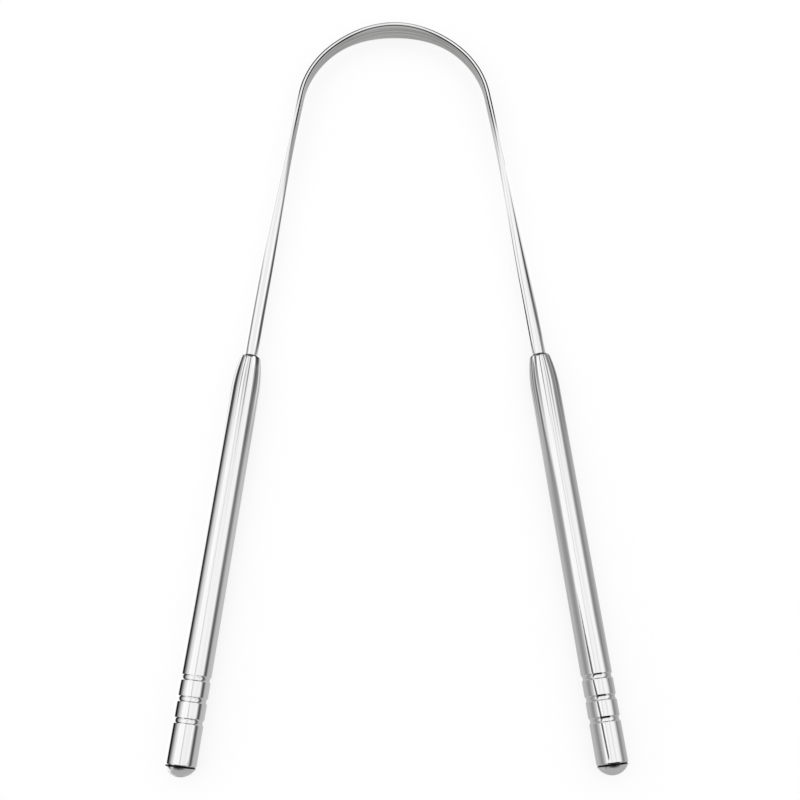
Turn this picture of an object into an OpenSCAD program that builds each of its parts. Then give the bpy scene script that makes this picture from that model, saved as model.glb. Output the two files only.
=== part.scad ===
// Tongue scraper: a steel rod bent to a U and rolled flat over the crown, with a round tube handle on each leg.
// It lies flat: crown towards +Y, handles towards -Y, the broad side of the crown upright along Z.
// The origin is under the middle of the whole outline, on the surface that the handles rest on.

/* [Crown of the U] */
// Radius of the crown, to the middle of the strip
arch_r = 19.8; // [16:0.1:26]
// Width of the strip at the crown, where it scrapes
crown_w = 4.95; // [3.8:0.05:5.2]
// Width of the strip at the shoulders of the U
shoulder_w = 3.5; // [3:0.1:3.8]
// Thickness of the strip
strip_t = 0.87; // [0.7:0.01:1.1]
// Length along the strip from the crown to the shoulder width
crown_run = 14; // [10:0.5:20]

/* [Legs] */
// Length of each leg, from the end of the crown to the mouth of its handle
leg_len = 59; // [48:0.5:75]
// Diameter of the round rod, as it enters the handle
rod_d = 2.5; // [2.1:0.05:2.8]
// Lean of a leg from the middle line, just below the crown, in degrees
leg_lean = 9.4; // [8:0.1:12]
// Length of leg below the crown that is still flat strip
flat_len = 9; // [5:0.5:14]
// Length of leg above the mouth of the handle that is round rod
round_len = 16; // [8:0.5:22]
// Length of the tang inside the handle
tang_len = 12; // [8:0.5:20]

/* [Handles] */
// Outer diameter of the handle tube
tube_od = 5.5; // [5.3:0.05:7]
// Wall of the handle tube
tube_wall = 0.45; // [0.3:0.05:0.6]
// Length of the handle tube, from its mouth to its free end
tube_len = 75.7; // [60:0.5:95]
// Lean of a handle from the middle line, in degrees
handle_lean = 7; // [5:0.1:7.5]
// Length of the swaged neck
neck_len = 7; // [5.5:0.1:10]
// Outer diameter of the mouth of the neck
mouth_od = 3.8; // [3.6:0.05:4.4]
// Length of the neck bore that grips the tang
grip_len = 3; // [2:0.1:4]

/* [Ring grooves] */
// Number of ring grooves in each handle
groove_count = 3; // [1:1:5]
// Distance from one ring groove to the next
groove_pitch = 3.65; // [2.5:0.05:5]
// Distance from the last ring groove to the free end of the tube
groove_end = 7.5; // [6.5:0.1:10]
// Width of a ring groove
groove_w = 1; // [0.7:0.05:1.4]
// Depth of a ring groove
groove_depth = 0.22; // [0.1:0.01:0.3]

/* [End caps] */
// Height of the dome of the end cap
dome_h = 1.75; // [1.2:0.05:2.5]
// Length of the spigot inside the tube
spigot_len = 5; // [3:0.1:5.5]

/* [Fits and edges] */
// Clearance round the tang and round the spigot
seat_gap = 0.02; // [0.01:0.01:0.05]
// Chamfer on the rim of the tube and on the rim of the cap, which form the seam
seam_chamfer = 0.12; // [0.05:0.01:0.2]
// Rounding of the mouth of the neck
mouth_round = 0.25; // [0.15:0.01:0.4]
// Chamfer on the inner end of the spigot
spigot_chamfer = 0.4; // [0.2:0.05:0.8]

/* [Hidden] */
$fn = 64;

// Facets of the strip: rings along each stretch of one half, and points round each of its two round edges
arch_steps = 26;
leg_steps = 38;
edge_points = 9;
// Straight facets in the curve of the neck and in each ring groove
neck_steps = 8;
groove_steps = 6;
mouth_steps = 4;

// Places along the middle line of one half, measured from the crown
arch_turn = 90 - leg_lean;
arch_len = arch_r * arch_turn * PI / 180;
mouth_s = arch_len + leg_len;
flat_s = arch_len + flat_len;
round_s = mouth_s - round_len;
leg_bend_r = leg_len / ((leg_lean - handle_lean) * PI / 180);
leg_top = [arch_r * sin(arch_turn), -arch_r * (1 - cos(arch_turn))];
mouth = leg_top + leg_bend_r * [cos(handle_lean) - cos(leg_lean), sin(handle_lean) - sin(leg_lean)];
handle_dir = [sin(handle_lean), -cos(handle_lean)];

// Radii of the tube, the neck bore and the dome
tube_r = tube_od / 2;
bore_r = tube_r - tube_wall;
mouth_r = mouth_od / 2;
grip_r = rod_d / 2 + seat_gap;
neck_bend_r = neck_len * neck_len / (2 * (tube_r - mouth_r));
flare_len = neck_len - grip_len;
flare_bend_r = flare_len * flare_len / (2 * (bore_r - grip_r));
dome_r = (tube_r * tube_r + dome_h * dome_h) / (2 * dome_h);
groove_r = (groove_w * groove_w / 4 + groove_depth * groove_depth) / (2 * groove_depth);
groove_half_turn = asin(groove_w / (2 * groove_r));

// The outline in Y runs from the crown's outer face to the tip of the domes
dome_centre = mouth + (tube_len + dome_h - dome_r) * handle_dir;
shift_y = -(strip_t / 2 + dome_centre[1] - dome_r) / 2;

// Smooth step from 0 to 1, level at both ends
function ease(t) = let (c = min(1, max(0, t))) c * c * (3 - 2 * c);

// Width of the flat strip at distance s from the crown
function strip_w(s) = crown_w + (shoulder_w - crown_w) * ease(s / crown_run);

// A size of the flat strip, as it grows back to the size of the round rod on the way to the handle
function to_rod(s, size) = size + (rod_d - size) * ease((s - flat_s) / (round_s - flat_s));

// Lean of the middle line from the -Y direction at distance s
function lean(s) =
    s < arch_len ? 90 - s / arch_len * arch_turn
    : s < mouth_s ? leg_lean - (leg_lean - handle_lean) * (s - arch_len) / leg_len
    : handle_lean;

// Point of the middle line at distance s, in the plane of the U with the crown at zero
function middle(s) =
    let (d = lean(s))
    s < arch_len ? arch_r * [cos(d), sin(d) - 1]
    : s < mouth_s ? leg_top + leg_bend_r * [cos(d) - cos(leg_lean), sin(d) - sin(leg_lean)]
    : mouth + (s - mouth_s) * handle_dir;

// Outline of the bar: width along the first axis, thickness along the second. Rolling leaves two flat faces
// and two half round edges. The points lie between the ends of each half circle, so the rod is a plain circle.
function section(w, t) =
    [for (h = [0:1], k = [0:edge_points - 1])
        let (a = (k + 0.5) * 180 / edge_points - 90, side = 1 - 2 * h)
        side * [(w - t) / 2 + t / 2 * cos(a), t / 2 * sin(a)]];

// One ring of the right half: its width stands upright, and its thickness lies in the plane of the U
function ring(s) =
    let (d = lean(s), p = middle(s))
    [for (q = section(to_rod(s, strip_w(s)), to_rod(s, strip_t)))
        [p[0] + q[1] * cos(d), p[1] + q[1] * sin(d), q[0]]];

// The left half is the right half mirrored, with its points in the same order round the bar
function left_ring(s) = [for (p = ring(s)) [-p[0], p[1], p[2]]];

// Places of the rings on one half, from just beside the crown to the end of the tang
half_places = concat(
    [for (i = [1:arch_steps]) arch_len * i / arch_steps],
    [for (i = [1:leg_steps]) arch_len + leg_len * i / leg_steps],
    [mouth_s + tang_len]);
half_count = len(half_places);
ring_size = 2 * edge_points;
ring_count = 2 * half_count + 1;

strip_points = concat(
    [for (i = [half_count - 1:-1:0]) each left_ring(half_places[i])],
    ring(0),
    [for (s = half_places) each ring(s)]);

// Two triangles between each pair of neighbours on each pair of rings, and a flat face at each end
strip_faces = concat(
    [for (i = [0:ring_count - 2], k = [0:ring_size - 1])
        let (n = (k + 1) % ring_size, a = i * ring_size, b = a + ring_size)
        each [[a + k, b + n, b + k], [a + k, a + n, b + n]]],
    [[for (k = [ring_size - 1:-1:0]) k]],
    [[for (k = [0:ring_size - 1]) (ring_count - 1) * ring_size + k]]);

// Groove profile along the tube at radius r, as a shallow arc cut towards the axis
function groove(z, r) =
    [for (k = [0:groove_steps])
        let (a = groove_half_turn * (2 * k / groove_steps - 1))
        [r - groove_depth + groove_r * (1 - cos(a)), z + groove_r * sin(a)]];

// Places of the ring grooves from the mouth
groove_places = [for (i = [groove_count - 1:-1:0]) tube_len - groove_end - i * groove_pitch];

// Half section of the tube: up the outside with its grooves, and back down the inside
tube_outline = concat(
    [for (k = [0:mouth_steps])
        let (a = 90 * k / mouth_steps)
        [mouth_r + mouth_round * (sin(a) - 1), mouth_round * (1 - cos(a))]],
    [for (k = [1:neck_steps])
        let (z = mouth_round + (neck_len - mouth_round) * k / neck_steps)
        [tube_r - (neck_len - z) * (neck_len - z) / (2 * neck_bend_r), z]],
    [for (z = groove_places) each groove(z, tube_r)],
    [[tube_r, tube_len - seam_chamfer], [tube_r - seam_chamfer, tube_len], [bore_r, tube_len]],
    [for (i = [groove_count - 1:-1:0], k = [groove_steps:-1:0]) groove(groove_places[i], bore_r)[k]],
    [for (k = [0:neck_steps])
        let (z = neck_len - flare_len * k / neck_steps)
        [bore_r - (neck_len - z) * (neck_len - z) / (2 * flare_bend_r), z]],
    [[grip_r, 0]]);

// Half section of the cap: dome, chamfered rim and spigot
cap_outline = concat(
    [[0, -spigot_len], [bore_r - seat_gap - spigot_chamfer, -spigot_len],
     [bore_r - seat_gap, spigot_chamfer - spigot_len], [bore_r - seat_gap, 0],
     [tube_r - seam_chamfer, 0]],
    [for (k = [0:neck_steps])
        let (a = (1 - k / neck_steps) * asin((tube_r - seam_chamfer / 2) / dome_r))
        [dome_r * sin(a), dome_h - dome_r + dome_r * cos(a)]]);

// Puts a turned piece on the right handle: its z axis then runs down the handle from the mouth
module on_handle() {
    translate([mouth[0], mouth[1] + shift_y, tube_r])
        rotate([0, 0, handle_lean])
            rotate([90, 0, 0])
                children();
}

module handle_tube() {
    on_handle()
        rotate_extrude()
            polygon(tube_outline);
}

module end_cap() {
    on_handle()
        translate([0, 0, tube_len])
            rotate_extrude()
                polygon(cap_outline);
}

module scraper_strip() {
    color("#b9babb")
        translate([0, shift_y, tube_r])
            polyhedron(strip_points, strip_faces);
}

module left_handle_tube() {
    color("#d6d7d8")
        mirror([1, 0, 0])
            handle_tube();
}

module right_handle_tube() {
    color("#d6d7d8")
        handle_tube();
}

module left_end_cap() {
    color("#a6a7a8")
        mirror([1, 0, 0])
            end_cap();
}

module right_end_cap() {
    color("#a6a7a8")
        end_cap();
}

scraper_strip();
left_handle_tube();
right_handle_tube();
left_end_cap();
right_end_cap();
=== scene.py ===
# %% [markdown]
# A steel tongue scraper. The real one is a single round stainless rod, rolled flat where it scrapes and
# bent to a U. Each end of the rod is gripped by the swaged neck of a thin round tube, and a low domed cap
# closes the free end of each tube. Nothing on it moves.
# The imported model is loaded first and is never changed: it says where every piece is.

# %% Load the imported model
import math

import bmesh
import bpy
from mathutils import Matrix, Vector


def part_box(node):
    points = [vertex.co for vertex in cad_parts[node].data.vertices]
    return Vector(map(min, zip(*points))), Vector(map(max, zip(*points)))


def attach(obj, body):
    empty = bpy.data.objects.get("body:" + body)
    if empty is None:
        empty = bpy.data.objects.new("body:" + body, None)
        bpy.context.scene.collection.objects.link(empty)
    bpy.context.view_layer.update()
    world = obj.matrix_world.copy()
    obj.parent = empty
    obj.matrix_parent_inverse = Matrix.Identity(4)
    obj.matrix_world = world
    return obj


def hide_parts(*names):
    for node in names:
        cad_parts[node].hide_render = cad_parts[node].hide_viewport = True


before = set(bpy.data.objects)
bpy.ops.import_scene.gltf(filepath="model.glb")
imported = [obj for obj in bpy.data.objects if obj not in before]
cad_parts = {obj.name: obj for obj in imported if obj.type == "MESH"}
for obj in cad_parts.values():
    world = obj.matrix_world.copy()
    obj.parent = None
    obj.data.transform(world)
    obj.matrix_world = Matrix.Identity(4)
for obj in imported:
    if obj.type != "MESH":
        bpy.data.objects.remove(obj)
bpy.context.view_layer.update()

print("nodes:", sorted(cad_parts))

# %% [markdown]
# Every length is written once, in millimetres, just before it is needed, and MM turns it into Blender's
# metres. Only the large things round the object, such as the floor and the panels, are given in metres. The
# sizes that the frame can give are read from it, so the dressed pieces cannot drift away from the solids
# that they stand for.

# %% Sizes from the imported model
MM = 0.001
tube_low, tube_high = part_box("right_handle_tube")
strip_low, strip_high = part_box("scraper_strip")

TUBE_R = (tube_high.z - tube_low.z) / 2 / MM
AXIS_Z = (tube_high.z + tube_low.z) / 2 / MM
CROWN_Y = strip_high.y / MM
CROWN_W = (strip_high.z - strip_low.z) / MM
print("tube radius", round(TUBE_R, 3), "crown width", round(CROWN_W, 3), "crown at y", round(CROWN_Y, 3))

# %% [markdown]
# The camera comes next, because it decides how fine each detail has to be. In the photograph the two round
# handles widen towards the bottom edge, and their necks show the curve of a ring seen 20 degrees off its
# side. Together they give a 50 mm lens, close to the object, tipped 18.5 degrees back from straight above.

# %% Camera
LENS_MM = 50
SENSOR_MM = 36
NEAREST_MM = 10
TIP_BACK = math.radians(18.5)
ROLL = math.radians(-0.27)
CAMERA_FAR = 212.2
AIM = Vector((0.91, -8.07, AXIS_Z)) * MM

camera_data = bpy.data.cameras.new("camera")
camera_data.lens = LENS_MM
camera_data.sensor_width = SENSOR_MM
camera_data.clip_start = NEAREST_MM * MM
camera = bpy.data.objects.new("camera", camera_data)
bpy.context.collection.objects.link(camera)
camera.location = AIM + CAMERA_FAR * MM * Vector((0, -math.sin(TIP_BACK), math.cos(TIP_BACK)))
camera.rotation_mode = "QUATERNION"
turned = Matrix.Rotation(TIP_BACK, 3, "X") @ Matrix.Rotation(ROLL, 3, "Z")
camera.rotation_quaternion = turned.to_quaternion()
bpy.context.scene.camera = camera
print("camera at", [round(c, 4) for c in camera.location])

# %% [markdown]
# The rod is a bar of 2.5 mm round stock. It is bent to an arc over the crown, its legs are nearly straight,
# and its ends go 12 mm deep into the handles. Places on it are given by their distance s from the crown.

# %% Sizes of the rod
ARCH_R = 19.8
SHOULDER_W = 3.5
STRIP_T = 0.87
CROWN_RUN = 14
LEG_LEN = 59
ROD_D = 2.5
LEG_LEAN = math.radians(9.4)
HANDLE_LEAN = math.radians(7)
FLAT_LEN = 9
ROUND_LEN = 16
TANG_LEN = 12

ARCH_TURN = math.pi / 2 - LEG_LEAN
ARCH_LEN = ARCH_R * ARCH_TURN
MOUTH_S = ARCH_LEN + LEG_LEN
ROD_HALF = MOUTH_S + TANG_LEN
FLAT_S = ARCH_LEN + FLAT_LEN
ROUND_S = MOUTH_S - ROUND_LEN
LEG_BEND_R = LEG_LEN / (LEG_LEAN - HANDLE_LEAN)
ARCH_Y = CROWN_Y - STRIP_T / 2 - ARCH_R
print("arc ends at", round(ARCH_LEN, 1), "mm and each leg at", round(MOUTH_S, 1), "mm from the crown")

# %% [markdown]
# The rod follows a middle line: an arc over the crown, a leg that leans outwards slightly less as it goes
# down, and a straight tang inside the handle. One function gives the point and the lean at any distance
# from the crown. The same distance sets the section, which is a broad thin strip with round edges over the
# crown and grows back to the plain round rod down each leg.


# %% Middle line and section of the rod
def ease(t):
    """Smooth step from 0 to 1, level at both ends."""
    t = min(1, max(0, t))
    return t * t * (3 - 2 * t)


def leg_point(lean):
    x = ARCH_R * math.cos(LEG_LEAN) + LEG_BEND_R * (math.cos(lean) - math.cos(LEG_LEAN))
    y = ARCH_Y + ARCH_R * math.sin(LEG_LEAN) + LEG_BEND_R * (math.sin(lean) - math.sin(LEG_LEAN))
    return Vector((x, y, AXIS_Z))


def middle(s):
    """Point and lean of the middle line on the right half, s mm from the crown."""
    if s < ARCH_LEN:
        lean = math.pi / 2 - s / ARCH_R
        return Vector((ARCH_R * math.cos(lean), ARCH_Y + ARCH_R * math.sin(lean), AXIS_Z)), lean
    if s < MOUTH_S:
        lean = LEG_LEAN - (s - ARCH_LEN) / LEG_BEND_R
        return leg_point(lean), lean
    down = Vector((math.sin(HANDLE_LEAN), -math.cos(HANDLE_LEAN), 0))
    return leg_point(HANDLE_LEAN) + (s - MOUTH_S) * down, HANDLE_LEAN


def beside(s, outwards, up):
    """Place at a distance outwards and up from the middle line. The left half has a negative s."""
    place, lean = middle(abs(s))
    place += Vector((outwards * math.cos(lean), outwards * math.sin(lean), up))
    return Vector((math.copysign(1, s) * place.x, place.y, place.z))


def section_size(s):
    """Width and thickness of the rod, s mm from the crown."""
    strip_w = CROWN_W - (CROWN_W - SHOULDER_W) * ease(s / CROWN_RUN)
    round_share = ease((s - FLAT_S) / (ROUND_S - FLAT_S))
    return strip_w + (ROD_D - strip_w) * round_share, STRIP_T + (ROD_D - STRIP_T) * round_share


mouth = middle(MOUTH_S)[0]
print("rod is", round(2 * ROD_HALF, 1), "mm long, right mouth at", [round(c, 2) for c in mouth])

# %% [markdown]
# Two helpers serve every piece. The first keeps, at each point, the place that it had on the straight blank
# before it was bent or tilted. The finishes are drawn on that blank, so rolling lines follow the bend of
# the rod just as they do on the real one. The second turns a finished bmesh into an object, in metres.

# %% Helpers for all pieces
SHARP = math.radians(38)
MERGE_MM = 1e-5
print("edges of more than", round(math.degrees(SHARP)), "degrees stay sharp")


def remember_blank(bm):
    layer = bm.verts.layers.float_vector.new("blank")
    for vert in bm.verts:
        vert[layer] = vert.co


def make_piece(bm, name, node):
    bmesh.ops.scale(bm, vec=(MM, MM, MM), verts=bm.verts)
    mesh = bpy.data.meshes.new(name)
    bm.to_mesh(mesh)
    bm.free()
    mesh.shade_smooth()
    mesh.set_sharp_from_angle(angle=SHARP)
    piece = bpy.data.objects.new(name, mesh)
    bpy.context.collection.objects.link(piece)
    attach(piece, "root")
    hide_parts(node)
    print(name, len(mesh.vertices), "points", len(mesh.polygons), "faces")


# %% [markdown]
# The rod. A curve with a bevel would keep one section all the way, but this rod changes its section as it
# goes. So it starts as a flat grid, one side as long as the rod and the other as long as the way round it.
# The grid is rolled up into a straight rod, its long seam is merged, its ends are filled, and the straight
# rod is then bent point by point along the middle line. A layer also marks the two rolled faces, because
# the rollers leave them duller than the edges.

# %% The scraper strip
ALONG = 440
EDGE_STEPS = 16
FACE_STEPS = 6
HALF_ROUND = EDGE_STEPS + FACE_STEPS


def section_point(step, width, thick):
    """Place on the outline of the rod: steps go round the two half round edges and along the flats."""
    r = thick / 2
    flat = width / 2 - r
    sign = -1 if step >= HALF_ROUND else 1
    step %= HALF_ROUND
    if step < EDGE_STEPS:
        a = (step / EDGE_STEPS - 0.5) * math.pi
        return sign * (flat + r * math.cos(a)), sign * r * math.sin(a)
    return sign * flat * (1 - 2 * (step - EDGE_STEPS) / FACE_STEPS), sign * r


bm = bmesh.new()
bmesh.ops.create_grid(bm, x_segments=ALONG, y_segments=2 * HALF_ROUND, size=1)
rolled = bm.verts.layers.float.new("rolled")
for vert in bm.verts:
    s = vert.co.x * ROD_HALF
    step = round((vert.co.y + 1) * HALF_ROUND) % (2 * HALF_ROUND)
    width, thick = section_size(abs(s))
    across, through = section_point(step, width, thick)
    vert[rolled] = ease((width - thick) / ROD_D) if step % HALF_ROUND >= EDGE_STEPS else 0
    vert.co = (s, across, through)
bmesh.ops.remove_doubles(bm, verts=bm.verts, dist=MERGE_MM)
bmesh.ops.holes_fill(bm, edges=[edge for edge in bm.edges if edge.is_boundary])
remember_blank(bm)
for vert in bm.verts:
    s, across, through = vert.co
    vert.co = beside(s, through, across)
bmesh.ops.recalc_face_normals(bm, faces=bm.faces)
make_piece(bm, "scraper_strip_steel", "scraper_strip")

# %% [markdown]
# The handle is a thin tube. Its neck is swaged down to the rod, which it grips over 3 mm, and three ring
# grooves are rolled in near its free end. The roller presses an arc into the wall and leaves a small radius
# on each of its shoulders, and the inside of the wall bulges where the outside is pressed in.

# %% Sizes of the handle tube
TUBE_LEN = 75.7
TUBE_WALL = 0.45
NECK_LEN = 7
MOUTH_R = 1.9
MOUTH_ROUND = 0.25
GRIP_LEN = 3
SEAT_GAP = 0.02
RIM_R = 0.4
BORE_R = TUBE_R - TUBE_WALL
GRIP_R = ROD_D / 2 + SEAT_GAP

GROOVES = 3
GROOVE_PITCH = 3.65
GROOVE_END = 7.5
GROOVE_W = 1
GROOVE_DEPTH = 0.22
SHOULDER_R = 0.12
groove_places = [TUBE_LEN - GROOVE_END - i * GROOVE_PITCH for i in reversed(range(GROOVES))]
groove_r = (GROOVE_W ** 2 / 4 + GROOVE_DEPTH ** 2) / (2 * GROOVE_DEPTH)
meet_angle = math.acos((groove_r + SHOULDER_R - GROOVE_DEPTH) / (groove_r + SHOULDER_R))
meet_z = groove_r * math.sin(meet_angle)
reach_z = (groove_r + SHOULDER_R) * math.sin(meet_angle)
print("grooves at", [round(z, 2) for z in groove_places], "mm, each", round(2 * reach_z, 2), "mm wide")

# %% [markdown]
# The handle tube is a turned shape: a half outline spun once round the axis. The outline goes up the
# outside, over the rounded mouth and the swaged neck, along the tube with its grooves, round the polished
# rim, and back down the bore.

# %% Outline of the handle tube
ROUND_STEPS = 6
NECK_STEPS = 16
GROOVE_STEPS = 24


def dip(z):
    """Depth of a groove, z mm from its middle: the roller's arc, then the shoulder's arc the other way."""
    if z < meet_z:
        return GROOVE_DEPTH - groove_r + math.sqrt(groove_r ** 2 - z ** 2)
    return SHOULDER_R - math.sqrt(SHOULDER_R ** 2 - (reach_z - z) ** 2)


def grooved(radius):
    """Points down a grooved wall of this radius, from the neck to the free end."""
    points = []
    for centre in groove_places:
        for k in range(GROOVE_STEPS + 1):
            z = reach_z * (2 * k / GROOVE_STEPS - 1)
            points.append((radius - dip(abs(z)), centre + z))
    return points


def swaged(radius, small, length, z_from):
    """Points of a wall that narrows from radius to small over a length, level where it meets the tube."""
    points = []
    for k in range(NECK_STEPS + 1):
        z = z_from + (NECK_LEN - z_from) * k / NECK_STEPS
        points.append((radius - (radius - small) * ((NECK_LEN - z) / length) ** 2, z))
    return points


outside = []
for k in range(ROUND_STEPS):
    a = k / ROUND_STEPS * math.pi / 2
    outside.append((MOUTH_R + MOUTH_ROUND * (math.sin(a) - 1), MOUTH_ROUND * (1 - math.cos(a))))
outside += swaged(TUBE_R, MOUTH_R, NECK_LEN, MOUTH_ROUND) + grooved(TUBE_R)
for k in range(ROUND_STEPS + 1):
    a = k / ROUND_STEPS * math.pi / 2
    outside.append((TUBE_R + RIM_R * (math.cos(a) - 1), TUBE_LEN + RIM_R * (math.sin(a) - 1)))
bore = swaged(BORE_R, GRIP_R, NECK_LEN - GRIP_LEN, GRIP_LEN) + grooved(BORE_R) + [(BORE_R, TUBE_LEN)]
tube_outline = outside + bore[::-1] + [(GRIP_R, 0)]
print("tube outline has", len(tube_outline), "points")

# %% [markdown]
# Spinning the outline gives an upright tube. Its finish is drawn on it as it stands there, and the tube is
# then laid down along its handle.

# %% The handle tubes
LEFT = -1
RIGHT = 1
SIDES = ((LEFT, "left"), (RIGHT, "right"))
SPIN_STEPS = 96


def spun(outline, closed):
    """A solid of revolution about z from a half outline of (radius, z) points."""
    bm = bmesh.new()
    verts = [bm.verts.new((r, 0, z)) for r, z in outline]
    edges = [bm.edges.new(pair) for pair in zip(verts, verts[1:])]
    if closed:
        edges.append(bm.edges.new((verts[-1], verts[0])))
    bmesh.ops.spin(bm, geom=verts + edges, cent=(0, 0, 0), axis=(0, 0, 1), angle=2 * math.pi,
                   steps=SPIN_STEPS, use_merge=True)
    bmesh.ops.remove_doubles(bm, verts=bm.verts, dist=MERGE_MM)
    bmesh.ops.recalc_face_normals(bm, faces=bm.faces)
    return bm


def put_on_handle(bm, side):
    """Lays a turned piece down along the handle on this side."""
    remember_blank(bm)
    turn = Matrix.Rotation(side * HANDLE_LEAN, 3, "Z") @ Matrix.Rotation(math.pi / 2, 3, "X")
    bmesh.ops.rotate(bm, verts=bm.verts, cent=(0, 0, 0), matrix=turn)
    bmesh.ops.translate(bm, verts=bm.verts, vec=(side * mouth.x, mouth.y, mouth.z))


for side, word in SIDES:
    bm = spun(tube_outline, closed=True)
    put_on_handle(bm, side)
    make_piece(bm, word + "_handle_steel", word + "_handle_tube")

# %% [markdown]
# The end cap is one turned plug: a low dome, a small chamfer under its edge, and a spigot that fills the
# bore. The chamfer and the rounded rim of the tube leave a seam between them, and its dark line is painted
# shade on both parts.

# %% The end caps
DOME_H = 1.75
SPIGOT_LEN = 5
SPIGOT_CHAMFER = 0.4
SEAM = 0.12
DOME_STEPS = 14
dome_r = (TUBE_R ** 2 + DOME_H ** 2) / (2 * DOME_H)
rim_angle = math.asin((TUBE_R - SEAM / 2) / dome_r)
spigot_r = BORE_R - SEAT_GAP
cap_outline = [(0, -SPIGOT_LEN), (spigot_r - SPIGOT_CHAMFER, -SPIGOT_LEN),
               (spigot_r, SPIGOT_CHAMFER - SPIGOT_LEN), (spigot_r, 0), (TUBE_R - SEAM, 0)]
for k in range(DOME_STEPS + 1):
    a = rim_angle * (1 - k / DOME_STEPS)
    cap_outline.append((dome_r * math.sin(a), DOME_H - dome_r + dome_r * math.cos(a)))

for side, word in SIDES:
    bm = spun([(r, z + TUBE_LEN) for r, z in cap_outline], closed=False)
    put_on_handle(bm, side)
    make_piece(bm, word + "_cap_steel", word + "_end_cap")

# %% [markdown]
# Materials. All three are the same stainless steel, and differ in how the surface was made. A metal's look
# is almost all reflection, so the work is in the roughness and in the fine lines that blur it. One function
# adds a node, with its settings and its links, and one turns a colour code into the linear values Blender
# wants. Two more draw what the steels share: fine lines along a piece, and painted shade, a black band where
# two parts meet.

# %% Helpers for materials
JOINT_SHADE_GREY = "#1c1c1c"
JOINT_SHADE_CORE = 0.7


def linear(code, alpha=1.0):
    channels = [int(code[i:i + 2], 16) / 255 for i in (1, 3, 5)]
    channels = [c / 12.92 if c <= 0.04045 else ((c + 0.055) / 1.055) ** 2.4 for c in channels]
    return (*channels, alpha)


def add(tree, kind, inputs, **settings):
    node = tree.nodes.new(kind)
    for name, value in settings.items():
        setattr(node, name, value)
    for socket, value in inputs.items():
        if isinstance(value, bpy.types.NodeSocket):
            tree.links.new(value, node.inputs[socket])
        else:
            node.inputs[socket].default_value = value
    return node


def empty_material(name):
    """A material without nodes, and its node tree."""
    material = bpy.data.materials.new(name)
    material.use_nodes = True
    material.node_tree.nodes.clear()
    return material, material.node_tree


def fine_lines(tree, blank, sizes):
    """Lines on the blank, from their sizes in mm along its three axes."""
    place = add(tree, "ShaderNodeMapping", {
        "Vector": blank.outputs["Vector"], "Scale": [1 / size for size in sizes]})
    return add(tree, "ShaderNodeTexNoise", {"Vector": place.outputs["Vector"], "Scale": 1, "Detail": 3})


def shade_in_the_joint(tree, grey, along, place, reach):
    """Painted shade: darkens a grey to black within reach mm of a joint, where the gap between the parts is
    in shade.
    """
    gap = add(tree, "ShaderNodeMath", {0: along, 1: place}, operation="SUBTRACT")
    gap = add(tree, "ShaderNodeMath", {0: gap.outputs["Value"]}, operation="ABSOLUTE")
    unshaded = add(tree, "ShaderNodeMapRange", {
        "Value": gap.outputs["Value"], "From Min": JOINT_SHADE_CORE * reach, "From Max": reach})
    return add(tree, "ShaderNodeMix", {
        "Factor": unshaded.outputs["Result"], "A": linear(JOINT_SHADE_GREY), "B": grey.outputs["Result"]},
               data_type="RGBA")


def give(piece_name, material):
    mesh = bpy.data.objects[piece_name].data
    mesh.materials.clear()
    mesh.materials.append(material)
    print(piece_name, "has a finish of", len(material.node_tree.nodes), "nodes")


print("the grey #808080 is", round(linear("#808080")[0], 3), "in linear values")

# %% [markdown]
# Cold rolled stainless steel. The rollers leave the two flat faces satin, with fine lines that run with the
# strip, a few hundredths of a millimetre apart. They are drawn 0.42 mm apart here, because finer ones would
# vanish in the picture, and the noise is stretched between two of its levels to bring them out. The edges
# and the round legs are polished bright, and show only a trace of lines, drawn 0.25 mm apart.

# %% Finish of the strip
LINE_LEN_MM = 25
LINE_MM = 0.25
ROLL_MM = 0.42
ROLL_FAINT = 0.35
ROLL_FULL = 0.65
POLISHED_ROUGH = 0.05
ROLLED_ROUGH = 0.32
MOUTH_SHADE_MM = 0.3
strip_steel, tree = empty_material("rolled_stainless_strip")
blank = add(tree, "ShaderNodeAttribute", {}, attribute_name="blank")
face = add(tree, "ShaderNodeAttribute", {}, attribute_name="rolled")
lines = fine_lines(tree, blank, (LINE_LEN_MM, LINE_MM, LINE_MM))
polished = add(tree, "ShaderNodeMix", {
    "Factor": lines.outputs["Fac"], "A": linear("#cacaca"), "B": linear("#d7d7d7")}, data_type="RGBA")
rolls = fine_lines(tree, blank, (LINE_LEN_MM, ROLL_MM, ROLL_MM))
rolls = add(tree, "ShaderNodeMapRange", {
    "Value": rolls.outputs["Fac"], "From Min": ROLL_FAINT, "From Max": ROLL_FULL})
satin = add(tree, "ShaderNodeMix", {
    "Factor": rolls.outputs["Result"], "A": linear("#a0a09f"), "B": linear("#c0c0bf")}, data_type="RGBA")
grey = add(tree, "ShaderNodeMix", {
    "Factor": face.outputs["Fac"], "A": polished.outputs["Result"], "B": satin.outputs["Result"]},
           data_type="RGBA")
rough = add(tree, "ShaderNodeMapRange", {
    "Value": face.outputs["Fac"], "To Min": POLISHED_ROUGH, "To Max": ROLLED_ROUGH})
parts = add(tree, "ShaderNodeSeparateXYZ", {"Vector": blank.outputs["Vector"]})
along = add(tree, "ShaderNodeMath", {0: parts.outputs["X"]}, operation="ABSOLUTE")
# Painted shade: a black band on the rod where it goes into the neck of the tube.
grey = shade_in_the_joint(tree, grey, along.outputs["Value"], MOUTH_S, MOUTH_SHADE_MM)
shader = add(tree, "ShaderNodeBsdfPrincipled", {
    "Base Color": grey.outputs["Result"], "Metallic": 1, "Roughness": rough.outputs["Result"]})
add(tree, "ShaderNodeOutputMaterial", {"Surface": shader.outputs["BSDF"]})
give("scraper_strip_steel", strip_steel)
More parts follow.
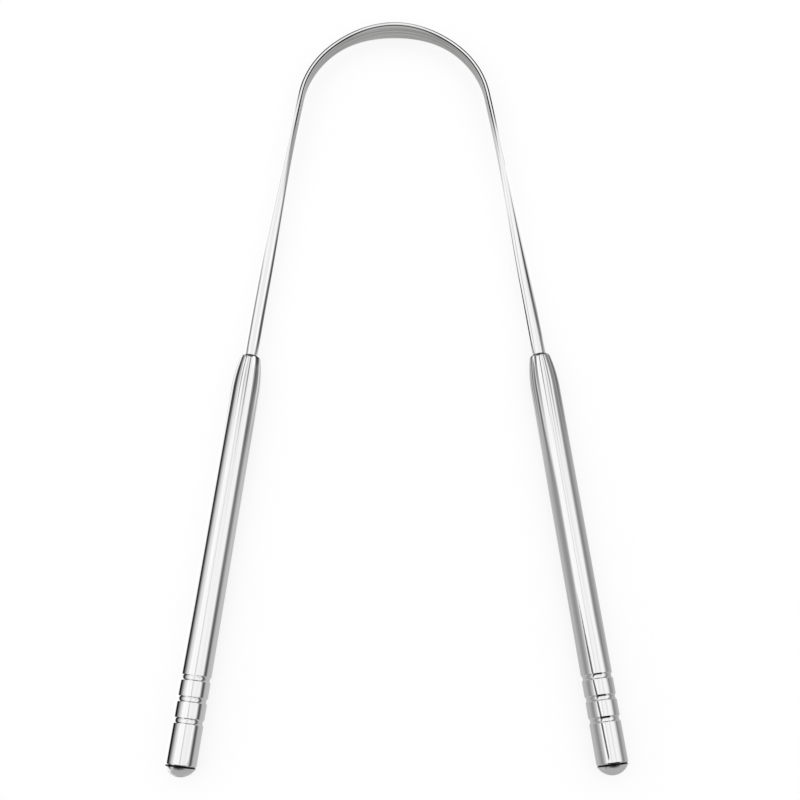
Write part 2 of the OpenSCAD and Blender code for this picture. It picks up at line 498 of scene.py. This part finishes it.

# %% [markdown]
# Bright polished stainless tube. It is drawn through a die, so what is left after polishing are faint lines
# along the tube. The neck is swaged afterwards: hammers close it round the rod, and leave shallow flutes
# about 0.4 mm apart. They are deepest at the mouth, and further down only a trace of them is left. Their
# valleys are painted darker, which is painted shade.

# %% Finish of the handle tubes
DRAWN_ROUGH = 0.12
FLUTE_MM = 0.4
FLUTE_DEEP_MM = 0.06
FLUTE_END_MM = 24
FLUTE_REST = 0.12
FLUTE_DRIFT = 0.3
VALLEY_FLOOR = 0.4
VALLEY_EDGE = 0.5
RIM_SHADE_MM = 0.17
tube_steel, tree = empty_material("polished_stainless_tube")
blank = add(tree, "ShaderNodeAttribute", {}, attribute_name="blank")
lines = fine_lines(tree, blank, (LINE_MM, LINE_MM, LINE_LEN_MM))
bright = add(tree, "ShaderNodeMix", {
    "Factor": lines.outputs["Fac"], "A": linear("#cacacb"), "B": linear("#dcdcdc")}, data_type="RGBA")
rough = add(tree, "ShaderNodeMapRange", {
    "Value": lines.outputs["Fac"], "To Min": POLISHED_ROUGH, "To Max": DRAWN_ROUGH})
parts = add(tree, "ShaderNodeSeparateXYZ", {"Vector": blank.outputs["Vector"]})
ring = add(tree, "ShaderNodeCombineXYZ", {"X": parts.outputs["X"], "Y": parts.outputs["Y"]})
ring = add(tree, "ShaderNodeVectorMath", {0: ring.outputs["Vector"]}, operation="NORMALIZE")
down = add(tree, "ShaderNodeMath", {
    0: parts.outputs["Z"], 1: FLUTE_DRIFT / LINE_LEN_MM}, operation="MULTIPLY")
down = add(tree, "ShaderNodeCombineXYZ", {"Z": down.outputs["Value"]})
flutes_at = add(tree, "ShaderNodeVectorMath", {
    0: ring.outputs["Vector"], 1: [TUBE_R / FLUTE_MM] * 3, 2: down.outputs["Vector"]},
                operation="MULTIPLY_ADD")
flutes = add(tree, "ShaderNodeTexNoise", {"Vector": flutes_at.outputs["Vector"], "Scale": 1, "Detail": 0})
depth = add(tree, "ShaderNodeMapRange", {
    "Value": parts.outputs["Z"], "From Max": FLUTE_END_MM, "To Min": 1, "To Max": FLUTE_REST},
            interpolation_type="SMOOTHSTEP")
fluted = add(tree, "ShaderNodeMath", {
    0: flutes.outputs["Fac"], 1: depth.outputs["Result"]}, operation="MULTIPLY")
bump = add(tree, "ShaderNodeBump", {
    "Height": fluted.outputs["Value"], "Strength": 1, "Distance": FLUTE_DEEP_MM * MM})
valley_mask = add(tree, "ShaderNodeMapRange", {
    "Value": flutes.outputs["Fac"], "From Min": VALLEY_FLOOR, "From Max": VALLEY_EDGE,
    "To Min": 1, "To Max": 0})
valley_shade = add(tree, "ShaderNodeMath", {
    0: valley_mask.outputs["Result"], 1: depth.outputs["Result"]}, operation="MULTIPLY")
# Painted shade: the valleys of the flutes are painted a darker grey near the mouth.
grey = add(tree, "ShaderNodeMix", {
    "Factor": valley_shade.outputs["Value"], "A": bright.outputs["Result"], "B": linear("#747474")},
           data_type="RGBA")
# Painted shade: black bands at the mouth and at the rim under the cap, where the joints are in shade.
grey = shade_in_the_joint(tree, grey, parts.outputs["Z"], 0, MOUTH_SHADE_MM)
grey = shade_in_the_joint(tree, grey, parts.outputs["Z"], TUBE_LEN, RIM_SHADE_MM)
shader = add(tree, "ShaderNodeBsdfPrincipled", {
    "Base Color": grey.outputs["Result"], "Metallic": 1, "Roughness": rough.outputs["Result"],
    "Normal": bump.outputs["Normal"]})
add(tree, "ShaderNodeOutputMaterial", {"Surface": shader.outputs["BSDF"]})
for word in ("left", "right"):
    give(word + "_handle_steel", tube_steel)

# %% [markdown]
# Turned stainless steel, polished after the lathe but not to a mirror. The tool leaves fine rings round the
# axis, drawn 0.12 mm apart.

# %% Finish of the end caps
RING_MM = 0.12
TURNED_SMOOTH = 0.2
TURNED_ROUGH = 0.28
CAP_SHADE_MM = 0.2
cap_steel, tree = empty_material("turned_stainless_cap")
blank = add(tree, "ShaderNodeAttribute", {}, attribute_name="blank")
parts = add(tree, "ShaderNodeSeparateXYZ", {"Vector": blank.outputs["Vector"]})
flat = add(tree, "ShaderNodeCombineXYZ", {"X": parts.outputs["X"], "Y": parts.outputs["Y"]})
radius = add(tree, "ShaderNodeVectorMath", {0: flat.outputs["Vector"]}, operation="LENGTH")
rings = add(tree, "ShaderNodeTexNoise", {"W": radius.outputs["Value"], "Scale": 1 / RING_MM, "Detail": 1},
            noise_dimensions="1D")
rough = add(tree, "ShaderNodeMapRange", {
    "Value": rings.outputs["Fac"], "To Min": TURNED_SMOOTH, "To Max": TURNED_ROUGH})
grey = add(tree, "ShaderNodeMix", {
    "Factor": rings.outputs["Fac"], "A": linear("#cccccc"), "B": linear("#d8d8d8")}, data_type="RGBA")
# Painted shade: a black band on the cap at its seam with the tube.
grey = shade_in_the_joint(tree, grey, parts.outputs["Z"], TUBE_LEN, CAP_SHADE_MM)
shader = add(tree, "ShaderNodeBsdfPrincipled", {
    "Base Color": grey.outputs["Result"], "Metallic": 1, "Roughness": rough.outputs["Result"]})
add(tree, "ShaderNodeOutputMaterial", {"Surface": shader.outputs["BSDF"]})
for word in ("left", "right"):
    give(word + "_cap_steel", cap_steel)

# %% [markdown]
# The world. Polished steel only looks like steel when there is something for it to reflect. The room is
# white to the camera and to everything that mirrors it, and gives only a part of that as light.

# %% World
ROOM_FILL = 0.8


def shown_to_eye(tree):
    """One for rays from the camera, from a mirroring surface or through glass, and zero for the rest."""
    path = add(tree, "ShaderNodeLightPath", {})
    seen = add(tree, "ShaderNodeMath", {
        0: path.outputs["Is Camera Ray"], 1: path.outputs["Is Glossy Ray"]}, operation="MAXIMUM")
    seen = add(tree, "ShaderNodeMath", {
        0: seen.outputs["Value"], 1: path.outputs["Is Transmission Ray"]}, operation="MAXIMUM")
    return seen.outputs["Value"]


world = bpy.data.worlds.new("room")
bpy.context.scene.world = world
world.use_nodes = True
tree = world.node_tree
tree.nodes.clear()
strength = add(tree, "ShaderNodeMapRange", {
    "Value": shown_to_eye(tree), "To Min": ROOM_FILL, "To Max": 1.0})
shader = add(tree, "ShaderNodeBackground", {
    "Color": linear("#ffffff"), "Strength": strength.outputs["Result"]})
add(tree, "ShaderNodeOutputWorld", {"Surface": shader.outputs["Background"]})
print("room gives", ROOM_FILL, "of the white that it shows")

# %% [markdown]
# The floor is plain white paper. Near the object about a fifth of it is matt paper, which takes the shadow,
# and the rest is plain white. Further out it turns into plain white, so that no edge or horizon shows from
# any side.

# %% Floor
FLOOR_R = 2.0
FLOOR_STEPS = 96
NEAR_WHITE = 0.78
WHITE_FROM = 0.12
WHITE_AT = 0.35
bm = bmesh.new()
bmesh.ops.create_circle(bm, cap_ends=True, radius=FLOOR_R, segments=FLOOR_STEPS)
mesh = bpy.data.meshes.new("floor")
bm.to_mesh(mesh)
bm.free()
floor = bpy.data.objects.new("floor", mesh)
bpy.context.collection.objects.link(floor)

paper, tree = empty_material("white_paper")
where = add(tree, "ShaderNodeTexCoord", {})
far = add(tree, "ShaderNodeVectorMath", {0: where.outputs["Object"]}, operation="LENGTH")
fade = add(tree, "ShaderNodeMapRange", {
    "Value": far.outputs["Value"], "From Min": WHITE_FROM, "From Max": WHITE_AT, "To Min": NEAR_WHITE,
    "To Max": 1}, interpolation_type="SMOOTHSTEP")
share = add(tree, "ShaderNodeMath", {
    0: fade.outputs["Result"], 1: shown_to_eye(tree)}, operation="MULTIPLY")
matt = add(tree, "ShaderNodeBsdfDiffuse", {"Color": linear("#ffffff")})
white = add(tree, "ShaderNodeEmission", {"Color": linear("#ffffff"), "Strength": 1})
both = add(tree, "ShaderNodeMixShader", {
    0: share.outputs["Value"], 1: matt.outputs["BSDF"], 2: white.outputs["Emission"]})
add(tree, "ShaderNodeOutputMaterial", {"Surface": both.outputs["Shader"]})
mesh.materials.append(paper)
print("floor is", 2 * FLOOR_R, "m across")

# %% [markdown]
# The lamps. As in a product studio, broad soft panels hang overhead, with two slits between them. They give
# the pale band along the top of every round part, and each slit gives a thin line in it. A ray that mirrors
# a panel also picks up the white room behind it, so a panel only needs to add the rest. A panel that glows
# evenly gives off pi times its glow and its area.

# %% Panels
PANEL_HIGH = 0.45
PANEL_LONG = 0.85
PANEL_Y = 0.175
for name, x_from, x_to, glow in (("panel_left", -0.98, -0.055, 0.45), ("panel_mid", -0.015, 0.21, 0.36),
                                 ("panel_right", 0.225, 0.98, 0.38)):
    panel = bpy.data.lights.new(name, "AREA")
    panel.shape = "RECTANGLE"
    panel.size = x_to - x_from
    panel.size_y = PANEL_LONG
    panel.energy = glow * math.pi * panel.size * panel.size_y
    lamp = bpy.data.objects.new(name, panel)
    lamp.location = ((x_from + x_to) / 2, PANEL_Y, PANEL_HIGH)
    lamp.visible_camera = False
    bpy.context.collection.objects.link(lamp)
    print(name, round(panel.energy, 2), "W")

# %% [markdown]
# Polished metal on white paper has no edges until it has something darker to mirror. Low grey cards stand
# round the object, out of the picture. Each card is a ribbon between rails, and every rail has its own
# grey, so one card can shade from dark to pale. A ribbon's grey is kept in a layer, which one material
# shows.

# %% Cards
CARD_STEPS = 80
grey_card, tree = empty_material("grey_card")
glow = add(tree, "ShaderNodeAttribute", {}, attribute_name="glow")
shader = add(tree, "ShaderNodeEmission", {"Color": linear("#ffffff"), "Strength": glow.outputs["Fac"]})
add(tree, "ShaderNodeOutputMaterial", {"Surface": shader.outputs["Emission"]})
print("a card is cut into", CARD_STEPS, "steps along its length")


def card(name, rails, spot, shades):
    """A ribbon with this many rails. spot(share of its length, rail) gives the place and the grey there."""
    bm = bmesh.new()
    bmesh.ops.create_grid(bm, x_segments=CARD_STEPS, y_segments=rails - 1, size=0.5)
    layer = bm.verts.layers.float.new("glow")
    for vert in bm.verts:
        vert.co, vert[layer] = spot(vert.co.x + 0.5, round((vert.co.y + 0.5) * (rails - 1)))
    mesh = bpy.data.meshes.new(name)
    bm.to_mesh(mesh)
    bm.free()
    ribbon = bpy.data.objects.new(name, mesh)
    bpy.context.collection.objects.link(ribbon)
    ribbon.visible_camera = False
    ribbon.visible_shadow = shades
    ribbon.visible_diffuse = shades
    mesh.materials.append(grey_card)
    print(name, "has", rails, "rails")


# %% [markdown]
# Three long cards stand half a metre away, on the left, on the right and on the camera's side. They also
# shade the light a little, as real ones do.

# %% Far cards
FAR_CARD = 0.5
FAR_LONG = 1.6
FAR_HEIGHTS = (0, 0.12, 0.2)
for name, turn, greys in (("far_left", 90, (0.5, 0.7, 1.0)), ("far_right", -90, (0.35, 0.35, 0.9)),
                          ("far_near", 180, (0.35, 0.4, 0.9))):
    turned = Matrix.Rotation(math.radians(turn), 3, "Z")
    card(name, len(FAR_HEIGHTS), lambda share, rail: (
        turned @ Vector(((share - 0.5) * FAR_LONG, FAR_CARD, FAR_HEIGHTS[rail])), greys[rail]), True)

# %% [markdown]
# Small flags stand and lie a few millimetres from the steel and follow its line. The dark ones draw the
# dark lines along the edges, and the lit ones, with a grey above 1, keep the white bands white. Only
# mirroring surfaces see them, so they leave no shadow on the paper. A flag is given at a few stations, each
# a distance from the crown and the rails there, and blends from one station to the next. A rail is a
# distance from the middle line, a height above the floor, both in millimetres, and a grey.

# %% Flags beside the steel
INNER = -1
OUTER = 1
LEG_END_S = MOUTH_S - 4.5
NECK_S = MOUTH_S - 2
END_S = 150
HANDLE_S = MOUTH_S + TUBE_LEN + DOME_H
PAST_S = HANDLE_S + 6
ROUNDING = 1e-6
print("the handles end", round(HANDLE_S, 1), "mm from the crown")


def flag(name, half, side, stations):
    """A ribbon along one half of the steel, on its inner or its outer side."""
    places = [s for s, rails in stations]

    def spot(share, rail):
        s = places[0] + (places[-1] - places[0]) * share
        k = max(k for k in range(len(places) - 1) if places[k] <= s + ROUNDING)
        blend = (s - places[k]) / (places[k + 1] - places[k])
        pairs = zip(stations[k][1][rail], stations[k + 1][1][rail])
        out, up, grey = [a + (b - a) * blend for a, b in pairs]
        return beside(half * s, side * out, up - AXIS_Z) * MM, grey

    card(name, len(stations[0][1]), spot, False)


# %% [markdown]
# Inside the crown the rails give the broad face its grey and the dark line above it. Behind it they give
# the thin line along its outer edge. Below the shoulders lit rails keep the legs nearly white.

# %% Rails round the crown
LIT = 1.45
IN_THE_CROWN = ((1, 0.1, 0.75), (5, 0.1, 0.72), (6.5, 0.1, 0.3), (8.5, 0.1, 0.12), (9.5, 0.1, 0.12),
                (9.5, 5, 0.12), (9.5, 8, 0.12), (9.5, 10, 0.2), (9.5, 12, 1.0))
IN_THE_BEND = ((1, 0.1, 0.75), (3.2, 0.1, 0.72), (4.5, 0.1, 0.1), (7, 0.1, 0.01), (8, 0.1, 0.01),
               (8, 5, 0.01), (8, 10, 0.01), (8, 13, 0.02), (8, 15, 0.9))
BEHIND_THE_CROWN = ((1, 0.1, 0.35), (5, 0.1, 0.32), (9, 0.1, 0.3), (9, 2, 0.3), (9, 4, 0.3), (9, 6, 0.35),
                    (9, 8, 0.5), (9, 10, 0.8), (9, 11, 1.0))
SIDE_OF_THE_CROWN = ((1, 0.1, 0.01), (5, 0.1, 0.01), (9, 0.1, 0.01), (9, 2, 0.01), (9, 4, 0.01),
                     (9, 6, 0.01), (9, 11, 0.01), (9, 14, 0.1), (9, 16, 1.0))
LIGHT = ((1.5, 0.1, LIT), (4, 0.1, LIT)) + tuple((8, max(0.1, up), LIT) for up in range(7))
TALL_LIGHT = ((1.5, 0.1, 1.5), (2.7, 0.1, 1.5), (3, 2, 1.5), (3, 3, 1.5), (3, 4, 1.5), (3, 5, 1.5),
              (3, 6, 1.5), (3, 8, 1.45), (3, 11, 1.45), (3, 14, 1.45), (3, 18, 1.43))
CROWN = ((0, IN_THE_CROWN), (4, IN_THE_CROWN), (8, IN_THE_BEND), (29, IN_THE_BEND))
print("the lit flags at the legs reach", LIGHT[-1][1], "and", TALL_LIGHT[-1][1], "mm up")

# %% [markdown]
# Each leg turns from a strip into a round rod, so the dark line on it wanders across on the way down. The
# rails move with it from station to station.

# %% Rails beside the legs
LEFT_INNER_LOW = ((1.5, 0.1, 0.5), (4.1, 0.1, 0.28), (6.7, 0.1, 0.14), (8, 1, 0.06), (8, 2.6, 0.1),
                  (8, 4, 0.42), (8, 5.6, 1.1), (8, 7.1, 1.55), (8, 11, 1.6))
LEFT_INNER_LEG = (
    (49, ((0.9, 0.1, 0.26), (1.6, 0.1, 0.33), (2.6, 0.1, 0.65), (4.1, 0.1, 0.95), (8, 0.1, 1.25),
          (8, 2.6, 1.4), (8, 4.2, 1.45), (8, 7.1, 1.45), (8, 8, 1.45))),
    (60.5, ((0.9, 0.1, 0.36), (3.3, 0.1, 0.15), (5.7, 0.1, 0.08), (8, 0.6, 0.14), (8, 2, 0.4),
            (8, 3.1, 0.8), (8, 4.3, 1.1), (8, 5.8, 1.5), (8, 10.5, 1.6))),
    (77, LEFT_INNER_LOW),
    (LEG_END_S, LEFT_INNER_LOW))
LEFT_OUTER_LOW = ((1.5, 0.1, 1.5), (8, 0.1, 1.5), (8, 1.6, 1.2), (8, 2.5, 0.8), (8, 3.4, 0.42), (8, 5, 0.3),
                  (8, 6.5, 0.5), (8, 7.7, 0.9), (8, 9, 1.4))
LEFT_OUTER_LEG = (
    (67, ((1.5, 0.1, 1.5), (8, 0.1, 1.5), (8, 1.6, 1.35), (8, 2.5, 1.05), (8, 3.4, 0.75), (8, 5, 0.55),
          (8, 6.5, 0.6), (8, 7.9, 0.95), (8, 9.5, 1.4))),
    (76, LEFT_OUTER_LOW),
    (LEG_END_S, LEFT_OUTER_LOW))
RIGHT_INNER_LOW = ((1, 0.1, 0.05), (4.2, 0.1, 0.05), (5.4, 0.1, 0.12), (6.4, 0.1, 0.45), (7.4, 0.1, 0.95),
                   (8, 0.6, 1.25), (8, 1.3, 1.45), (8, 4, 1.45), (8, 5, 1.45))
RIGHT_INNER_LEG = (
    (60, ((1, 0.1, 0.3), (3, 0.1, 0.7), (4, 0.1, 1.2), (5, 0.1, 1.4), (6.4, 0.1, 1.45), (8, 0.6, 1.45),
          (8, 1.3, 1.45), (8, 4, 1.45), (8, 5, 1.45))),
    (68, ((1, 0.1, 0.02), (3, 0.1, 0.03), (3.8, 0.1, 0.4), (4.6, 0.1, 1.0), (5.6, 0.1, 1.4), (8, 0.6, 1.45),
          (8, 1.3, 1.45), (8, 4, 1.45), (8, 5, 1.45))),
    (77, RIGHT_INNER_LOW),
    (LEG_END_S, RIGHT_INNER_LOW))
RIGHT_OUTER_LEG = (
    (51, ((1.5, 0.1, 1.5), (2.7, 0.1, 1.5), (3, 2, 1.5), (3, 4.4, 1.5), (3, 5.8, 1.5), (3, 7, 1.4),
          (3, 8.2, 1.05), (3, 10, 0.46), (3, 14, 0.32), (3, 20, 0.4), (3, 26, 0.8))),
    (61, ((1.5, 0.1, 1.5), (2.7, 0.1, 1.5), (3, 2, 1.5), (3, 4.6, 1.5), (3, 5.6, 1.4), (3, 6.5, 1.0),
          (3, 7.3, 0.4), (3, 8.4, 0.08), (3, 9.8, 0.08), (3, 12.8, 0.26), (3, 24, 0.85))),
    (69.5, ((1.5, 0.1, 1.5), (2.7, 0.1, 1.5), (3, 2, 1.5), (3, 3.8, 1.45), (3, 4.5, 1.1), (3, 5.1, 0.6),
            (3, 5.8, 0.14), (3, 6.8, 0.03), (3, 8.2, 0.12), (3, 10.3, 0.44), (3, 15, 1.25))),
    (78, ((1.5, 0.1, 1.45), (2.7, 0.1, 1.4), (3, 2.2, 1.1), (3, 3, 0.7), (3, 3.7, 0.36), (3, 4.5, 0.2),
          (3, 5.2, 0.17), (3, 6, 0.24), (3, 7, 0.5), (3, 8.1, 0.95), (3, 10.2, 1.4))),
    (LEG_END_S, ((1.5, 0.1, 1.2), (2.7, 0.1, 1), (3, 2.2, 0.8), (3, 3, 0.5), (3, 3.7, 0.3), (3, 4.4, 0.22),
                 (3, 5, 0.3), (3, 5.7, 0.55), (3, 6.5, 0.9), (3, 7.5, 1.25), (3, 9, 1.43))))
print("legs have", len(LEFT_INNER_LEG) + len(LEFT_OUTER_LEG), "stations on the left and",
      len(RIGHT_INNER_LEG) + len(RIGHT_OUTER_LEG), "on the right")

# %% [markdown]
# The handles keep their section, so a few rails serve for each: for the neck, for the long middle and for
# the end with the grooves. The left handle has a black outer edge, and the right one grey bands on both
# sides.

# %% Rails beside the handles
LEFT_INNER_NECK = ((1, 0.1, 0.95), (8, 0.1, 1), (8, 1.7, 1), (8, 3.1, 0.9), (8, 4.2, 0.72), (8, 5.2, 0.55),
                   (8, 6.4, 0.38), (8, 7.8, 0.55), (8, 9.4, 1.4))
LEFT_INNER_HANDLE = ((1, 0.1, 0.74), (8, 0.1, 0.78), (8, 1.7, 0.78), (8, 3.1, 0.68), (8, 4.2, 0.42),
                     (8, 5.4, 0.26), (8, 6.7, 0.36), (8, 8.2, 1.0), (8, 9.3, 1.4))
LEFT_INNER_END = ((1, 0.1, 0.72), (8, 0.1, 0.72), (8, 1.7, 0.72), (8, 3.1, 0.66), (8, 4.2, 0.38),
                  (8, 5, 0.1), (8, 6.2, 0.14), (8, 7.6, 0.8), (8, 8.8, 1.4))
LEFT_OUTER_NECK = ((1.5, 0.1, 1.45), (8, 0.1, 1.45), (8, 2.8, 1.3), (8, 3.7, 0.42), (8, 5.4, 0.3),
                   (8, 6.2, 0.42), (8, 7.4, 0.6), (8, 10, 0.85), (8, 15, 1.2))
LEFT_OUTER_HANDLE = ((1.5, 0.1, 1.45), (8, 0.1, 1.45), (8, 2.8, 1.45), (8, 3.7, 0.04), (8, 5.4, 0.02),
                     (8, 6.2, 0.22), (8, 7.4, 0.6), (8, 10, 1.05), (8, 15, 1.25))
LEFT_OUTER_END = ((1.5, 0.1, 1.45), (8, 0.1, 1.45), (8, 1.8, 1.45), (8, 2.5, 0.02), (8, 4.8, 0.01),
                  (8, 5.7, 0.24), (8, 7.3, 0.6), (8, 9.5, 1.05), (8, 12.5, 1.4))
RIGHT_INNER_NECK = ((1, 0.1, 0.8), (8, 0.1, 0.82), (8, 1.8, 0.84), (8, 3.4, 0.7), (8, 4.4, 0.38),
                    (8, 5.2, 0.24), (8, 6.1, 0.4), (8, 7, 1.0), (8, 8.5, 1.45))
RIGHT_INNER_HANDLE = ((1, 0.1, 0.7), (8, 0.1, 0.7), (8, 1.8, 0.68), (8, 3.6, 0.5), (8, 5.2, 0.42),
                      (8, 6.6, 0.42), (8, 8.3, 0.5), (8, 9.8, 0.9), (8, 11.7, 1.4))
RIGHT_INNER_END = ((1, 0.1, 0.7), (8, 0.1, 0.7), (8, 1.8, 0.68), (8, 3.6, 0.5), (8, 5.2, 0.38),
                   (8, 6.6, 0.48), (8, 8.3, 0.66), (8, 9.8, 1.05), (8, 11.4, 1.4))
RIGHT_OUTER_HANDLE = ((1, 0.1, 0.65), (8, 0.1, 0.66), (8, 1.6, 0.64), (8, 3.7, 0.56), (8, 5.4, 0.42),
                      (8, 7.0, 0.34), (8, 8.2, 0.4), (8, 9.2, 0.6), (8, 10.2, 0.85), (8, 11.2, 1.1),
                      (8, 12.4, 1.4))
RIGHT_OUTER_END = ((1, 0.1, 0.65), (8, 0.1, 0.66), (8, 1.6, 0.64), (8, 3.7, 0.56), (8, 5.2, 0.42),
                   (8, 6.2, 0.32), (8, 7.0, 0.44), (8, 7.7, 0.7), (8, 8.4, 0.95), (8, 9.2, 1.2),
                   (8, 10.2, 1.4))
print("handles are flagged from", round(NECK_S, 1), "to", round(PAST_S, 1), "mm from the crown")

# %% [markdown]
# Now the flags are put up. The inner ones run from the crown to past the handle, the outer ones start below
# the shoulders, and two more stand behind the crown and fade into light on the legs.

# %% Put up the flags
FADE = 7
flag("flag_left_inner", LEFT, INNER, CROWN + LEFT_INNER_LEG + (
    (NECK_S, LEFT_INNER_NECK), (93, LEFT_INNER_NECK), (100, LEFT_INNER_HANDLE), (125, LEFT_INNER_HANDLE),
    (END_S, LEFT_INNER_END), (PAST_S, LEFT_INNER_END)))
flag("flag_left_outer", LEFT, OUTER, ((44, LIGHT), (57, LIGHT)) + LEFT_OUTER_LEG + (
    (NECK_S, LEFT_OUTER_NECK), (92, LEFT_OUTER_HANDLE), (135, LEFT_OUTER_HANDLE),
    (END_S, LEFT_OUTER_END), (PAST_S, LEFT_OUTER_END)))
flag("flag_right_inner", RIGHT, INNER, CROWN + ((42, LIGHT), (50, LIGHT)) + RIGHT_INNER_LEG + (
    (NECK_S, RIGHT_INNER_NECK), (98, RIGHT_INNER_NECK), (112, RIGHT_INNER_HANDLE),
    (130, RIGHT_INNER_HANDLE), (END_S, RIGHT_INNER_END), (PAST_S, RIGHT_INNER_END)))
flag("flag_right_outer", RIGHT, OUTER, ((44, TALL_LIGHT),) + RIGHT_OUTER_LEG + (
    (NECK_S, RIGHT_OUTER_HANDLE), (138, RIGHT_OUTER_HANDLE),
    (END_S, RIGHT_OUTER_END), (PAST_S, RIGHT_OUTER_END)))
for half, word, fade_s in ((LEFT, "left", 23), (RIGHT, "right", 28)):
    flag("flag_crown_" + word, half, OUTER, (
        (0, BEHIND_THE_CROWN), (3, BEHIND_THE_CROWN), (8, SIDE_OF_THE_CROWN), (fade_s, SIDE_OF_THE_CROWN),
        (fade_s + FADE, LIGHT), (44, LIGHT)))

# %% [markdown]
# The stand of a lamp leans beside the right handle. It draws the thin slanted line on the lower half.

# %% The lamp stand
STAND_OFF = -12
STAND_FROM = 120
STAND_LOW = 5.3
STAND_RISE = 0.43
STAND_HALF_SHARE = 0.2
STAND_GREY = 0.2


def stand_spot(share, rail):
    s = STAND_FROM + (HANDLE_S - STAND_FROM) * share
    up = STAND_LOW + STAND_RISE * (s - STAND_FROM)
    return beside(s, STAND_OFF, up * (1 + STAND_HALF_SHARE * (2 * rail - 1))) * MM, STAND_GREY


card("lamp_stand", 2, stand_spot, False)

# %% [markdown]
# The last flags stand across. Beyond the end of each handle there is a near one, which the dome and its
# seam mirror, and a farther one for the ring grooves. Their rails are a gap beyond the dome, a height and a
# grey, and they reach from x_from to x_to outwards of the handle's axis. A broad one stands far beyond the
# crown, and its rails are a height in metres and a grey.

# %% Flags that stand across
LEFT_NEAR = ((0.5, 0.1, 0.5), (4, 0.1, 0.6), (4, 6.6, 0.6), (4, 7.2, 0.0), (4, 12, 0.0))
RIGHT_NEAR = ((0.5, 0.1, 0.5), (4, 0.1, 0.6), (4, 6.6, 0.65), (4, 7.2, 0.0), (4, 15, 0.0))
LEFT_FAR = ((14, 0.1, 0.9), (14, 5, 1.0), (14, 6, 1.25), (14, 60, 1.25))
RIGHT_FAR = ((8, 0.1, 0.7), (8, 4, 0.5), (8, 6, 0.06), (8, 36, 0.06), (8, 39, 0.9))
for name, half, x_from, x_to, rails in (
        ("flag_left_near", LEFT, -8, 5, LEFT_NEAR), ("flag_right_near", RIGHT, -5, 10, RIGHT_NEAR),
        ("flag_left_end", LEFT, -30, 45, LEFT_FAR), ("flag_right_end", RIGHT, -28, 20, RIGHT_FAR)):
    card(name, len(rails), lambda share, rail: (
        beside(half * (HANDLE_S + rails[rail][0]), x_from + (x_to - x_from) * share,
               rails[rail][1] - AXIS_Z) * MM, rails[rail][2]), False)

BEYOND_Y = 0.25
BEYOND_WIDE = 0.3
BEYOND = ((0, 0.22), (0.14, 0.22), (0.17, 1.0))
card("flag_beyond", len(BEYOND), lambda share, rail: (
    Vector(((share - 0.5) * BEYOND_WIDE, BEYOND_Y, BEYOND[rail][0])), BEYOND[rail][1]), False)

# %% [markdown]
# The last cell keeps the view settings plain.

# %% View settings
bpy.context.scene.view_settings.view_transform = "Standard"
